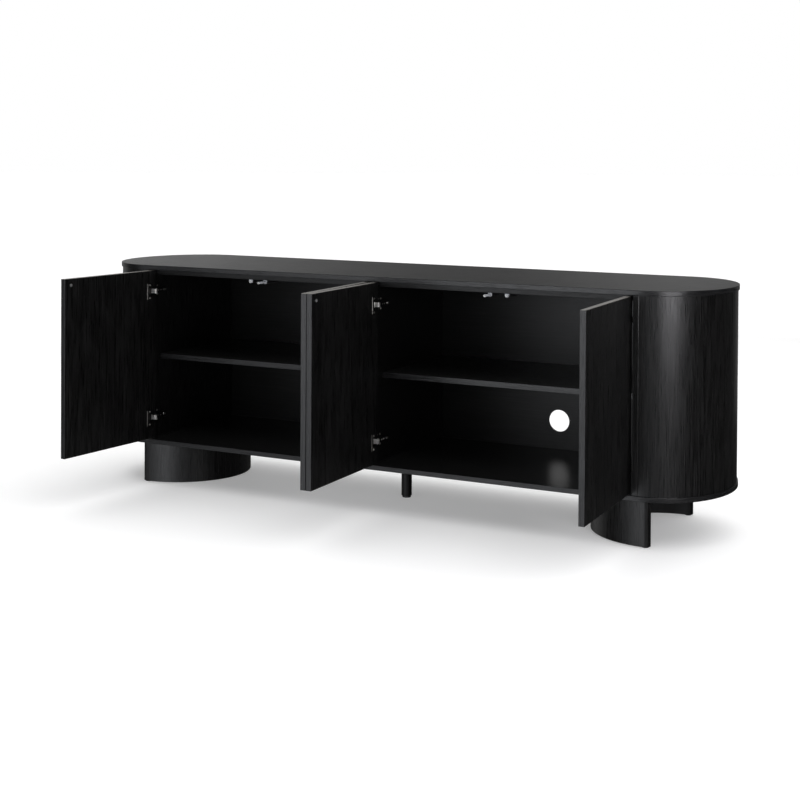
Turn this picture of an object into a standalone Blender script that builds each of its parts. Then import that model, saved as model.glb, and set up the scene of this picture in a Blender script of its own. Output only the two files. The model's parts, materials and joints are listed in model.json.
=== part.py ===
"""Long four-door media cabinet with rounded ends.

The plan is a racetrack: a straight box of two bays with a hollow, curved end at each side.  A slab
closes it above and below.  Two C-shaped legs and one round centre leg carry it.  Every door hangs on
two concealed cup hinges and is held by a push latch under the carcass top.

Frame: +X to the right, +Y to the back, +Z up.  The origin is on the floor, under the centre leg.
All sizes are in metres.
"""

from math import cos, pi, radians, sin

import bmesh
import bpy
from mathutils import Matrix, Vector

# ---------------------------------------------------------------- driving dimensions

LENGTH = 2.280          # over the slabs
DEPTH = 0.558           # over the slabs
HEIGHT = 0.783          # floor to the top face
SLAB = 0.016            # thickness of the top and the bottom slab
PANEL = 0.018           # thickness of doors, sides, partition, shelves and carcass top
LEG_HEIGHT = 0.148      # floor to the underside of the bottom slab
PROUD = 0.004           # the slabs stand out past the shell by this much
TOUCH = 0.0003          # gap between pieces that meet

SIDE_X = 0.900          # inner face of each side panel
SHELL = 0.012           # wall of the curved ends
BACK_Y = 0.262          # front face of the back panels
BACK = 0.008            # thickness of the back panels
CABLE_HOLE = (0.457, 0.262, 0.038)     # x from the middle, z and radius, one in each back panel

DOOR_GAP_ENDS = 0.0026  # above and below a door
DOOR_GAP_SIDE = 0.0025  # door to side panel
DOOR_GAP_PAIR = 0.0030  # between two doors, closed
OPEN_ANGLE = {"door_1": 95.0, "door_2": 92.9, "door_3": 88.5, "door_4": 92.2}

CARCASS_TOP_SETBACK = 0.0215   # front edge behind the closed doors' outer face
PARTITION_SETBACK = 0.0275
SHELF_TOP_Z = 0.4595
SHELF_FRONT_Y = -0.202
SHELF_PLAY = 0.001      # shelf to panel, each end
PIN_RADIUS = 0.0025
PIN_IN = 0.008          # length of a shelf pin inside its hole
PIN_OUT = 0.009         # length that carries the shelf
PIN_Y = (-0.150, 0.205)

LEG_RADIUS = 0.242      # outer radius of a C-shaped leg
LEG_WALL = 0.033
LEG_X = 0.928           # centre of the C
GLIDE = 0.003           # thickness of the floor glides
GLIDE_RADIUS = 0.011
CENTRE_LEG_RADIUS = 0.018
CENTRE_FOOT = 0.006     # height of the centre leg's foot
CENTRE_FOOT_RADIUS = 0.0150

# concealed hinges, in the closed door's own axes: u from its hinge edge, v from its outer face
PIVOT_U = 0.0100
PIVOT_V = 0.0052
HINGE_FROM_END = 0.074  # hinge centre to the door's top or bottom end
CUP_U = 0.0220
CUP_RADIUS = 0.0175
CUP_DEPTH = 0.0125
CUP_WALL = 0.0010
RIM_RADIUS = 0.0195
FLANGE = 0.0012
FLANGE_HALF = 0.0285
FLANGE_U = (0.0255, 0.0400)
LINK_HALF = 0.0080
LINK_THICK = 0.0024
LINK_REACH = 0.0202
LINK_ANGLE = 100.0
ARM_HALF = 0.0085
HOOD_INNER = 0.0205
HOOD_OUTER = 0.0233
HOOD_ANGLES = (7.0, 74.0)
ARM_END_V = 0.094
PLATE_THICK = 0.0022
PLATE_HALF = 0.0240
PLATE_V = (0.0330, 0.0600)

# push latches and their strike discs
STRIKE_INSET = 0.0275   # from the door's free edge
STRIKE_DROP = 0.0220    # below the door's top end
STRIKE_RADIUS = 0.0055
STRIKE_THICK = 0.0015
LATCH_HALF = 0.0060
LATCH_LENGTH = 0.078
LATCH_FRONT = 0.0215    # behind the closed doors' outer face
LATCH_BORE = 0.0047
LATCH_BORE_DEPTH = 0.066
LATCH_TAB = 0.010
PLUNGER_RADIUS = 0.0042
PLUNGER_LENGTH = 0.060
PLUNGER_STROKE = 0.040

# ---------------------------------------------------------------- derived places

FRONT = -DEPTH / 2 + PROUD
BACK_EDGE = DEPTH / 2 - PROUD
SEAM_X = SIDE_X + PANEL
BOTTOM_TOP = LEG_HEIGHT + SLAB
TOP_UNDER = HEIGHT - SLAB
CARCASS_Z = (BOTTOM_TOP + TOUCH, TOP_UNDER - TOUCH)
CARCASS_TOP_UNDER = CARCASS_Z[1] - PANEL
DOOR_Z = (BOTTOM_TOP + DOOR_GAP_ENDS, TOP_UNDER - DOOR_GAP_ENDS)
DOOR_WIDTH = (SIDE_X - DOOR_GAP_SIDE - 1.5 * DOOR_GAP_PAIR) / 2
HINGE_Z = (DOOR_Z[1] - HINGE_FROM_END, DOOR_Z[0] + HINGE_FROM_END)

# each door: x of its hinge edge when closed, and the way it extends from there
DOORS = {
    "door_1": (-SIDE_X + DOOR_GAP_SIDE, 1),
    "door_2": (-DOOR_GAP_PAIR / 2, -1),
    "door_3": (DOOR_GAP_PAIR / 2, 1),
    "door_4": (SIDE_X - DOOR_GAP_SIDE, -1),
}
# the carcass face that carries each door's hinge arms
HINGE_FACE = {"door_1": -SIDE_X, "door_2": -PANEL / 2, "door_3": PANEL / 2, "door_4": SIDE_X}
# the latch plungers that stand out at rest
PLUNGER_OUT = {"door_1": 0.0, "door_2": PLUNGER_STROKE, "door_3": PLUNGER_STROKE, "door_4": 0.0}

MATERIALS = {
    "black_stained_oak": ((0.014, 0.013, 0.013), 0.42, 0.0),
    "oak_interior": ((0.010, 0.010, 0.010), 0.50, 0.0),
    "nickel": ((0.55, 0.54, 0.52), 0.28, 1.0),
    "steel": ((0.62, 0.62, 0.60), 0.35, 1.0),
    "black_plastic": ((0.020, 0.020, 0.021), 0.45, 0.0),
    "grey_plastic": ((0.55, 0.57, 0.60), 0.45, 0.0),
}


# ---------------------------------------------------------------- helpers

def clear_scene():
    for item in list(bpy.data.objects):
        bpy.data.objects.remove(item, do_unlink=True)


def make_material(node, family):
    colour, roughness, metallic = MATERIALS[family]
    material = bpy.data.materials.new(node + "_material")
    material.use_nodes = True
    shader = material.node_tree.nodes["Principled BSDF"]
    shader.inputs["Base Color"].default_value = (*colour, 1.0)
    shader.inputs["Roughness"].default_value = roughness
    shader.inputs["Metallic"].default_value = metallic
    return material


def add_object(name, mesh):
    item = bpy.data.objects.new(name, mesh)
    bpy.context.scene.collection.objects.link(item)
    return item


def finish(item, family, smooth=False):
    """Give a finished piece its material and its shading."""
    item.data.materials.clear()
    item.data.materials.append(make_material(item.name, family))
    if smooth:
        item.data.shade_smooth()
        item.data.set_sharp_from_angle(angle=radians(35))
    return item


def mesh_from(name, work):
    bmesh.ops.recalc_face_normals(work, faces=work.faces)
    mesh = bpy.data.meshes.new(name)
    work.to_mesh(mesh)
    work.free()
    return mesh


def box(name, low, high, arris=0.0):
    """A rectangular board between two corners, with its edges eased by a small chamfer."""
    work = bmesh.new()
    bmesh.ops.create_cube(work, size=1.0)
    low, high = Vector(low), Vector(high)
    size = high - low
    for vert in work.verts:
        vert.co = low + Vector(((vert.co[i] + 0.5) * size[i] for i in range(3)))
    if arris:
        bmesh.ops.bevel(work, geom=work.edges[:], offset=arris, segments=1, affect="EDGES",
                        profile=0.5)
    return add_object(name, mesh_from(name, work))


def prism(name, outline, low, high, arris=0.0):
    """An upright prism on a closed outline of (x, y) points, with its two rims chamfered."""
    work = bmesh.new()
    base = work.faces.new([work.verts.new((x, y, low)) for x, y in outline])
    grown = bmesh.ops.extrude_face_region(work, geom=[base])["geom"]
    for vert in (part for part in grown if isinstance(part, bmesh.types.BMVert)):
        vert.co.z = high
    if arris:
        rims = [edge for edge in work.edges if edge.verts[0].co.z == edge.verts[1].co.z]
        bmesh.ops.bevel(work, geom=rims, offset=arris, segments=1, affect="EDGES", profile=0.5)
    return add_object(name, mesh_from(name, work))


def turned(name, profile, steps, matrix):
    """A turned piece: (radius, height) points from axis to axis, spun about Z, then placed."""
    work = bmesh.new()
    rings = []
    for radius, height in profile:
        if radius == 0.0:
            rings.append([work.verts.new((0.0, 0.0, height))])
        else:
            angles = (2 * pi * k / steps for k in range(steps))
            rings.append([work.verts.new((radius * cos(a), radius * sin(a), height)) for a in angles])
    for lower, upper in zip(rings, rings[1:]):
        for k in range(steps):
            after = (k + 1) % steps
            corners = [lower[k % len(lower)], lower[after % len(lower)],
                       upper[after % len(upper)], upper[k % len(upper)]]
            work.faces.new(list(dict.fromkeys(corners)))
    work.transform(matrix)
    return add_object(name, mesh_from(name, work))


def rod(name, radius, low, high, steps, matrix, arris=0.0):
    """A plain round bar along Z between two heights, with chamfered ends, then placed."""
    if arris:
        profile = [(0.0, low), (radius - arris, low), (radius, low + arris),
                   (radius, high - arris), (radius - arris, high), (0.0, high)]
    else:
        profile = [(0.0, low), (radius, low), (radius, high), (0.0, high)]
    return turned(name, profile, steps, matrix)


def combine(item, tool, operation):
    """Union or cut with a second solid, settle the result in the first mesh, drop the second."""
    cut = item.modifiers.new("combine", "BOOLEAN")
    cut.operation = operation
    cut.solver = "EXACT"
    cut.object = tool
    bpy.context.view_layer.update()
    seen = item.evaluated_get(bpy.context.evaluated_depsgraph_get())
    settled = bpy.data.meshes.new_from_object(seen)
    item.modifiers.remove(cut)
    item.data = settled
    bpy.data.objects.remove(tool, do_unlink=True)
    return item


def along_y(x, y, z):
    """A matrix that lays a +Z bar along +Y, starting at a point."""
    return Matrix.Translation((x, y, z)) @ Matrix.Rotation(-pi / 2, 4, "X")


def along_x(x, y, z):
    """A matrix that lays a +Z bar along +X, starting at a point."""
    return Matrix.Translation((x, y, z)) @ Matrix.Rotation(pi / 2, 4, "Y")


# ---------------------------------------------------------------- outlines

def half_ellipse(centre_x, reach, half_depth, steps, outward=1):
    """Points from front to back round one curved end; outward is +1 at the right end."""
    angles = [-pi / 2 + pi * k / steps for k in range(steps + 1)]
    return [(outward * (centre_x + reach * cos(a)), half_depth * sin(a)) for a in angles]


def racetrack(inset, steps=36):
    """The plan of the cabinet: two straight sides and two half-ellipse ends, drawn in."""
    reach = LENGTH / 2 - SEAM_X - inset
    right = half_ellipse(SEAM_X, reach, DEPTH / 2 - inset, steps)
    left = half_ellipse(SEAM_X, reach, DEPTH / 2 - inset, steps, outward=-1)
    return right + left[::-1]


def c_outline(outward, steps=30):
    """The plan of a C-shaped leg, open towards the end of the cabinet, with full-round noses."""
    middle = LEG_RADIUS - LEG_WALL / 2
    inner = LEG_RADIUS - LEG_WALL
    sweep = [pi / 2 + pi * k / steps for k in range(steps + 1)]
    nose = [pi * k / 8 for k in range(1, 8)]
    points = [(LEG_RADIUS * cos(a), LEG_RADIUS * sin(a)) for a in sweep]
    points += [(LEG_WALL / 2 * sin(a), -middle - LEG_WALL / 2 * cos(a)) for a in nose]
    points += [(inner * cos(a), inner * sin(a)) for a in reversed(sweep)]
    points += [(LEG_WALL / 2 * sin(a), middle - LEG_WALL / 2 * cos(a)) for a in nose]
    return [(outward * (LEG_X + x), y) for x, y in points]


# ---------------------------------------------------------------- carcass

def build_slabs():
    plan = racetrack(0.0)
    finish(prism("top_panel", plan, TOP_UNDER, HEIGHT, arris=0.0012), "black_stained_oak", True)
    finish(prism("bottom_panel", plan, LEG_HEIGHT, BOTTOM_TOP, arris=0.0012),
           "black_stained_oak", True)


def build_side_panel(name, outward):
    inner, outer = sorted((outward * SIDE_X, outward * SEAM_X))
    side = box(name, (inner, FRONT, CARCASS_Z[0]), (outer, BACK_EDGE, CARCASS_Z[1]), arris=0.0005)
    for y in PIN_Y:
        drill_pin_hole(side, outward * SIDE_X, outward, y)
    finish(side, "black_stained_oak")


def drill_pin_hole(panel, face_x, into, y):
    """A blind hole for a shelf pin, from a panel's face into its thickness."""
    slack = 0.0004
    start = face_x - into * 0.002
    end = face_x + into * (PIN_IN + slack)
    low, high = sorted((start, end))
    drill = rod("drill", PIN_RADIUS + slack, 0.0, high - low, 12, along_x(low, y, pin_height()))
    combine(panel, drill, "DIFFERENCE")


def pin_height():
    return SHELF_TOP_Z - PANEL - TOUCH - PIN_RADIUS


def build_partition():
    partition = box("centre_partition", (-PANEL / 2, FRONT + PARTITION_SETBACK, CARCASS_Z[0]),
                    (PANEL / 2, BACK_Y - TOUCH, CARCASS_TOP_UNDER - TOUCH), arris=0.0005)
    for into in (-1, 1):
        for y in PIN_Y:
            drill_pin_hole(partition, -into * PANEL / 2, into, y)
    finish(partition, "oak_interior")


def build_carcass_top():
    reach = SIDE_X - TOUCH
    finish(box("carcass_top", (-reach, FRONT + CARCASS_TOP_SETBACK, CARCASS_TOP_UNDER),
               (reach, BACK_Y - TOUCH, CARCASS_Z[1]), arris=0.0005), "black_stained_oak")


def build_backs():
    x, z, radius = CABLE_HOLE
    for name, way in (("back_panel_left", -1), ("back_panel_right", 1)):
        low, high = sorted((way * TOUCH / 2, way * (SIDE_X - TOUCH)))
        panel = box(name, (low, BACK_Y, CARCASS_Z[0]), (high, BACK_Y + BACK, CARCASS_Z[1]))
        drill = rod("cable_drill", radius, 0.0, 3 * BACK, 40, along_y(way * x, BACK_Y - BACK, z))
        finish(combine(panel, drill, "DIFFERENCE"), "oak_interior")


def build_end_shell(name, outward):
    start = SEAM_X + TOUCH
    reach = LENGTH / 2 - PROUD - start
    outer = half_ellipse(start, reach, DEPTH / 2 - PROUD, 36, outward)
    inner = half_ellipse(start, reach - SHELL, DEPTH / 2 - PROUD - SHELL, 30, outward)
    finish(prism(name, outer + inner[::-1], *CARCASS_Z), "black_stained_oak", True)


def build_shelf(name, outward):
    low, high = sorted((outward * (PANEL / 2 + SHELF_PLAY), outward * (SIDE_X - SHELF_PLAY)))
    finish(box(name, (low, SHELF_FRONT_Y, SHELF_TOP_Z - PANEL),
               (high, BACK_Y - SHELF_PLAY, SHELF_TOP_Z), arris=0.0008), "oak_interior")


def build_shelf_pins():
    faces = {"left_outer": (-SIDE_X, 1), "left_inner": (-PANEL / 2, -1),
             "right_inner": (PANEL / 2, 1), "right_outer": (SIDE_X, -1)}
    for place, (face_x, out) in faces.items():
        for row, y in zip(("front", "rear"), PIN_Y):
            low, high = sorted((face_x - out * PIN_IN, face_x + out * PIN_OUT))
            pin = rod(f"shelf_pin_{place}_{row}", PIN_RADIUS, 0.0, high - low, 12,
                      along_x(low, y, pin_height()), arris=0.0004)
            finish(pin, "nickel", True)


# ---------------------------------------------------------------- legs

def build_legs():
    for side, outward in (("left", -1), ("right", 1)):
        leg = prism(f"leg_{side}", c_outline(outward), GLIDE + TOUCH, LEG_HEIGHT - TOUCH, arris=0.0008)
        finish(leg, "black_stained_oak", True)
        for row, way in (("front", -1), ("rear", 1)):
            spot = (outward * LEG_X, way * (LEG_RADIUS - LEG_WALL / 2), 0.0)
            glide = rod(f"glide_{side}_{row}", GLIDE_RADIUS, 0.0, GLIDE, 20,
                        Matrix.Translation(spot), arris=0.0006)
            finish(glide, "black_plastic", True)
    post = rod("leg_centre", CENTRE_LEG_RADIUS, CENTRE_FOOT + TOUCH, LEG_HEIGHT - TOUCH, 32,
               Matrix.Identity(4), arris=0.0010)
    finish(post, "black_stained_oak", True)
    foot = turned("glide_centre", [(0.0, 0.0), (CENTRE_FOOT_RADIUS - 0.002, 0.0),
                                   (CENTRE_FOOT_RADIUS, 0.002), (CENTRE_FOOT_RADIUS, CENTRE_FOOT),
                                   (0.0, CENTRE_FOOT)], 32, Matrix.Identity(4))
    finish(foot, "black_plastic", True)


# ---------------------------------------------------------------- doors and hinges

def hinge_axis(door):
    """The empty on a door's hinge axis, turned to the angle at which the door stands."""
    edge_x, way = DOORS[door]
    axis = bpy.data.objects.new(door + "_axis", None)
    bpy.context.scene.collection.objects.link(axis)
    axis.location = (edge_x + way * PIVOT_U, FRONT + PIVOT_V, 0.0)
    axis.rotation_euler = (0.0, 0.0, -way * radians(OPEN_ANGLE[door]))
    return axis


def door_point(way, u, v, z):
    """A point of the closed door, measured from its hinge axis."""
    return way * (u - PIVOT_U), v - PIVOT_V, z


def door_box(name, way, u, v, z, arris=0.0):
    """A box fixed to a door, between two values of u, v and z."""
    near = door_point(way, u[0], v[0], z[0])
    far = door_point(way, u[1], v[1], z[1])
    low = [min(pair) for pair in zip(near, far)]
    high = [max(pair) for pair in zip(near, far)]
    return box(name, low, high, arris)


def build_door(door, axis):
    way = DOORS[door][1]
    leaf = door_box(door, way, (0.0, DOOR_WIDTH), (0.0, PANEL), DOOR_Z, arris=0.0008)
    slack = TOUCH
    for z in HINGE_Z:
        x, y, _ = door_point(way, CUP_U, PANEL - CUP_DEPTH - slack, 0.0)
        drill = rod("cup_drill", CUP_RADIUS + slack, 0.0, 2 * CUP_DEPTH, 36, along_y(x, y, z))
        combine(leaf, drill, "DIFFERENCE")
    leaf.parent = axis
    finish(leaf, "black_stained_oak")


def build_hinge_cup(name, door, axis, z):
    """The cup in the door: a pressed steel cup with its screw flange and a folded link."""
    way = DOORS[door][1]
    rim_top = PANEL + TOUCH + FLANGE
    floor = PANEL - CUP_DEPTH
    x, y, _ = door_point(way, CUP_U, 0.0, 0.0)
    profile = [(0.0, floor), (CUP_RADIUS - 0.001, floor), (CUP_RADIUS, floor + 0.001),
               (CUP_RADIUS, PANEL + TOUCH), (RIM_RADIUS, PANEL + TOUCH), (RIM_RADIUS, rim_top),
               (CUP_RADIUS - CUP_WALL, rim_top), (CUP_RADIUS - CUP_WALL, floor + CUP_WALL),
               (0.0, floor + CUP_WALL)]
    cup = turned(name, profile, 32, along_y(x, y, z))
    wing_gap = CUP_RADIUS - CUP_WALL / 2
    for end in (-1, 1):
        reach = sorted((end * wing_gap, end * FLANGE_HALF))
        wing = door_box("wing", way, FLANGE_U, (PANEL + TOUCH, rim_top), (z + reach[0], z + reach[1]))
        combine(cup, wing, "UNION")
    bar = door_box("bar", way, (CUP_U + CUP_RADIUS - CUP_WALL / 2, FLANGE_U[1]),
                   (PANEL + TOUCH, rim_top), (z - FLANGE_HALF + 0.001, z + FLANGE_HALF - 0.001))
    combine(cup, bar, "UNION")
    combine(cup, folded_link(way, z), "UNION")
    cup.parent = axis
    finish(cup, "nickel", True)


def folded_link(way, z):
    """The link that rises from the cup floor to just short of the arm's hood."""
    turn = radians(LINK_ANGLE)
    along = Vector((way * cos(turn), sin(turn), 0.0))
    across = Vector((-along.y, along.x, 0.0)) * (LINK_THICK / 2)
    foot = along * ((PANEL - CUP_DEPTH + CUP_WALL / 2 - PIVOT_V) / sin(turn))
    tip = along * LINK_REACH
    corners = [foot - across, foot + across, tip + across, tip - across]
    return prism("link", [(point.x, point.y) for point in corners], z - LINK_HALF, z + LINK_HALF)


def build_hinge_arm(name, door, z):
    """The arm on the carcass: a curved hood round the hinge axis, the arm and its screw plate."""
    edge_x, way = DOORS[door]
    face_u = way * (HINGE_FACE[door] - edge_x)
    first, last = (radians(angle) for angle in HOOD_ANGLES)
    steps = 10
    sweep = [first + (last - first) * k / steps for k in range(steps + 1)]
    inner = [(PIVOT_U + HOOD_INNER * cos(a), PIVOT_V + HOOD_INNER * sin(a)) for a in sweep]
    outer = [(PIVOT_U + HOOD_OUTER * cos(a), PIVOT_V + HOOD_OUTER * sin(a)) for a in sweep]
    base = face_u + TOUCH + PLATE_THICK / 2
    heel = [(base + 0.004, outer[-1][1] + 0.002), (base, outer[-1][1] + 0.012), (base, ARM_END_V)]
    spine = [(base + 0.011, ARM_END_V), (base + 0.013, ARM_END_V - 0.004),
             (base + 0.014, outer[-1][1] + 0.016)]
    outline = inner + heel + spine + outer[::-1]
    world = [(edge_x + way * u, FRONT + v) for u, v in outline]
    arm = prism(name, world, z - ARM_HALF, z + ARM_HALF)
    plate = [face_u + TOUCH, face_u + TOUCH + PLATE_THICK]
    xs = sorted(edge_x + way * u for u in plate)
    wings = box("plate", (xs[0], FRONT + PLATE_V[0], z - PLATE_HALF),
                (xs[1], FRONT + PLATE_V[1], z + PLATE_HALF))
    finish(combine(arm, wings, "UNION"), "nickel", True)


def build_strike(door, axis):
    way = DOORS[door][1]
    z = DOOR_Z[1] - STRIKE_DROP
    x, y, _ = door_point(way, DOOR_WIDTH - STRIKE_INSET, PANEL + TOUCH, 0.0)
    disc = rod("strike_" + door[-1], STRIKE_RADIUS, 0.0, STRIKE_THICK, 24, along_y(x, y, z),
               arris=0.0004)
    disc.parent = axis
    finish(disc, "steel", True)


# ---------------------------------------------------------------- push latches

def latch_place(door):
    """x and z of a latch: straight behind the strike disc of its closed door."""
    edge_x, way = DOORS[door]
    return edge_x + way * (DOOR_WIDTH - STRIKE_INSET), DOOR_Z[1] - STRIKE_DROP


def build_latch(door):
    """A D-shaped grey plastic body screwed under the carcass top, bored for its plunger."""
    x, z = latch_place(door)
    top = CARCASS_TOP_UNDER - TOUCH
    round_part = [(LATCH_HALF * cos(pi + pi * k / 12), LATCH_HALF * sin(pi + pi * k / 12))
                  for k in range(13)]
    section = round_part + [(LATCH_HALF, top - z), (-LATCH_HALF, top - z)]
    start = FRONT + LATCH_FRONT
    work = bmesh.new()
    face = work.faces.new([work.verts.new((x + dx, start, z + dz)) for dx, dz in section])
    grown = bmesh.ops.extrude_face_region(work, geom=[face])["geom"]
    for vert in (part for part in grown if isinstance(part, bmesh.types.BMVert)):
        vert.co.y = start + LATCH_LENGTH
    name = "latch_" + door[-1]
    body = add_object(name, mesh_from(name, work))
    tab = box("tab", (x - LATCH_HALF, start + LATCH_LENGTH - 0.001, top - 0.003),
              (x + LATCH_HALF, start + LATCH_LENGTH + LATCH_TAB, top))
    combine(body, tab, "UNION")
    drill = rod("bore", LATCH_BORE, 0.0, LATCH_BORE_DEPTH + 0.002, 20, along_y(x, start - 0.002, z))
    combine(body, drill, "DIFFERENCE")
    finish(body, "grey_plastic", True)


def build_plunger(door):
    """The spring plunger, its head just behind the strike disc of the closed door."""
    x, z = latch_place(door)
    closed_tip = FRONT + PANEL + TOUCH + STRIKE_THICK + TOUCH
    axis = bpy.data.objects.new("plunger_" + door[-1] + "_axis", None)
    bpy.context.scene.collection.objects.link(axis)
    axis.location = (x, closed_tip - PLUNGER_OUT[door], z)
    head, neck = 0.004, 0.0006
    profile = [(0.0, 0.0), (PLUNGER_RADIUS - neck, 0.0), (PLUNGER_RADIUS, neck),
               (PLUNGER_RADIUS, head), (PLUNGER_RADIUS - neck, head + neck),
               (PLUNGER_RADIUS - neck, PLUNGER_LENGTH), (0.0, PLUNGER_LENGTH)]
    plunger = turned("plunger_" + door[-1], profile, 20, along_y(0.0, 0.0, 0.0))
    plunger.parent = axis
    finish(plunger, "grey_plastic", True)


# ---------------------------------------------------------------- assembly

def main():
    clear_scene()
    build_slabs()
    build_side_panel("side_panel_left", -1)
    build_side_panel("side_panel_right", 1)
    build_partition()
    build_carcass_top()
    build_backs()
    build_end_shell("end_shell_left", -1)
    build_end_shell("end_shell_right", 1)
    build_shelf("shelf_left", -1)
    build_shelf("shelf_right", 1)
    build_shelf_pins()
    build_legs()
    for door in DOORS:
        axis = hinge_axis(door)
        build_door(door, axis)
        build_strike(door, axis)
        for place, z in zip(("upper", "lower"), HINGE_Z):
            build_hinge_cup(f"hinge_cup_{door[-1]}_{place}", door, axis, z)
            build_hinge_arm(f"hinge_arm_{door[-1]}_{place}", door, z)
        build_latch(door)
        build_plunger(door)


main()
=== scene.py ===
"""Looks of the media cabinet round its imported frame: finishes, fine pieces, light, camera."""

import json
from math import cos, hypot, pi, radians, sin

import bmesh
import bpy
from mathutils import Matrix, Vector


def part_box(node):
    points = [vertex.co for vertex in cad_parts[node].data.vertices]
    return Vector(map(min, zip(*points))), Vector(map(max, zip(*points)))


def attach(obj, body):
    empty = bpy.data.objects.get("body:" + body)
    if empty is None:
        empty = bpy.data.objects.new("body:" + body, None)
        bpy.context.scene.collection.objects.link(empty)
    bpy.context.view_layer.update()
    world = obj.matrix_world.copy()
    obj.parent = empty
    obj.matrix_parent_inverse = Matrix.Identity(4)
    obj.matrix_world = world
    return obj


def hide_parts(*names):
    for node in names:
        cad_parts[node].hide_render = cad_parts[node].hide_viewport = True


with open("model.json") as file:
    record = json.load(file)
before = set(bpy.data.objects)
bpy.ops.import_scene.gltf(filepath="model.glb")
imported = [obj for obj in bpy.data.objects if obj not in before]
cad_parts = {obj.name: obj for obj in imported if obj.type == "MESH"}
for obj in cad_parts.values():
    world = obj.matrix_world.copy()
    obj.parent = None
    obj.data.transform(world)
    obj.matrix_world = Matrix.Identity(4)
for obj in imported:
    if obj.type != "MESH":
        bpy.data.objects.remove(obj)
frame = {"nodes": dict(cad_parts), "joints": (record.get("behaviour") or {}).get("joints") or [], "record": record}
NODES = frame["nodes"]
JOINTS = {joint["name"]: joint for joint in frame["joints"]}
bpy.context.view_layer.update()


# ---------------------------------------------------------------- materials

class Nodes:
    """A short way to write a material's node tree."""

    def __init__(self, name):
        self.material = bpy.data.materials.new(name)
        self.material.use_nodes = True
        self.tree = self.material.node_tree
        self.shader = self.tree.nodes["Principled BSDF"]

    def add(self, kind, **values):
        node = self.tree.nodes.new(kind)
        for key, value in values.items():
            setattr(node, key, value)
        return node

    def link(self, source, target):
        self.tree.links.new(source, target)

    def place(self, scale=(1.0, 1.0, 1.0), source="Object"):
        """Texture coordinates in metres, times a scale for each axis."""
        where = self.add("ShaderNodeTexCoord")
        mapping = self.add("ShaderNodeMapping")
        mapping.inputs["Scale"].default_value = scale
        self.link(where.outputs[source], mapping.inputs["Vector"])
        return mapping.outputs["Vector"]

    def noise(self, vector, scale, detail=4.0, roughness=0.55, distortion=0.0):
        node = self.add("ShaderNodeTexNoise")
        node.inputs["Scale"].default_value = scale
        node.inputs["Detail"].default_value = detail
        node.inputs["Roughness"].default_value = roughness
        node.inputs["Distortion"].default_value = distortion
        self.link(vector, node.inputs["Vector"])
        return node.outputs["Fac"]

    def ramp(self, value, stops):
        """Colours by a value; a stop is (place, grey) or (place, (red, green, blue))."""
        node = self.add("ShaderNodeValToRGB")
        elements = node.color_ramp.elements
        while len(elements) < len(stops):
            elements.new(0.5)
        for element, (place, colour) in zip(elements, stops):
            element.position = place
            element.color = (*colour, 1.0) if isinstance(colour, tuple) else (colour,) * 3 + (1.0,)
        self.link(value, node.inputs["Fac"])
        return node.outputs["Color"]

    def math(self, operation, first, second):
        node = self.add("ShaderNodeMath", operation=operation)
        for socket, value in zip(node.inputs, (first, second)):
            if isinstance(value, (int, float)):
                socket.default_value = value
            else:
                self.link(value, socket)
        return node.outputs["Value"]

    def span(self, value, low, high):
        """Maps 0..1 to low..high."""
        node = self.add("ShaderNodeMapRange")
        node.inputs["To Min"].default_value = low
        node.inputs["To Max"].default_value = high
        self.link(value, node.inputs["Value"])
        return node.outputs["Result"]

    def bump(self, height, distance, strength):
        node = self.add("ShaderNodeBump")
        node.inputs["Distance"].default_value = distance
        node.inputs["Strength"].default_value = strength
        self.link(height, node.inputs["Height"])
        return node.outputs["Normal"]


# Texture scale for each grain direction: the noise is drawn out along the grain.
GRAIN = {"x": (0.022, 1.0, 1.0), "z": (1.0, 1.0, 0.022)}
BAND_SCALE, STREAK_SCALE, FIBRE_SCALE, PORE_SCALE = 26.0, 380.0, 520.0, 900.0     # per metre
BAND_SHARE, STREAK_SHARE, PORE_SHADE = 0.08, 0.92, 0.05
RELIEF_DEPTH = 0.00030


def veneer(name, grain, dark, light, roughness=(0.23, 0.38), specular=0.5, source="Object",
           relief=0.8):
    """Black-stained oak veneer: bands, streaks, fine fibres and open pores along the grain."""
    m = Nodes(name)
    along = m.place(GRAIN[grain], source)
    bands = m.noise(along, BAND_SCALE, 3.0, 0.5, 0.6)
    streaks = m.noise(along, STREAK_SCALE, 4.0, 0.66)
    fibres = m.noise(along, FIBRE_SCALE, 4.0, 0.6)
    pores = m.ramp(m.noise(along, PORE_SCALE, 2.0, 0.5), [(0.56, 0.0), (0.68, 1.0)])
    tone = m.math("ADD", m.math("MULTIPLY", bands, BAND_SHARE),
                  m.math("MULTIPLY", streaks, STREAK_SHARE))
    tone = m.math("SUBTRACT", tone, m.math("MULTIPLY", pores, PORE_SHADE))
    middle = tuple(0.72 * low + 0.28 * high for low, high in zip(dark, light))
    colour = m.ramp(tone, [(0.38, dark), (0.50, middle), (0.64, light)])
    m.link(colour, m.shader.inputs["Base Color"])
    sheen = m.math("ADD", m.math("MULTIPLY", streaks, 0.6), m.math("MULTIPLY", fibres, 0.4))
    gloss = m.ramp(sheen, [(0.35, 0.0), (0.65, 1.0)])
    m.link(m.span(gloss, *roughness), m.shader.inputs["Roughness"])
    m.shader.inputs["Specular IOR Level"].default_value = specular
    height = m.math("SUBTRACT", sheen, m.math("MULTIPLY", pores, 0.4))
    m.link(m.bump(height, RELIEF_DEPTH, relief), m.shader.inputs["Normal"])
    return m.material


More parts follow.
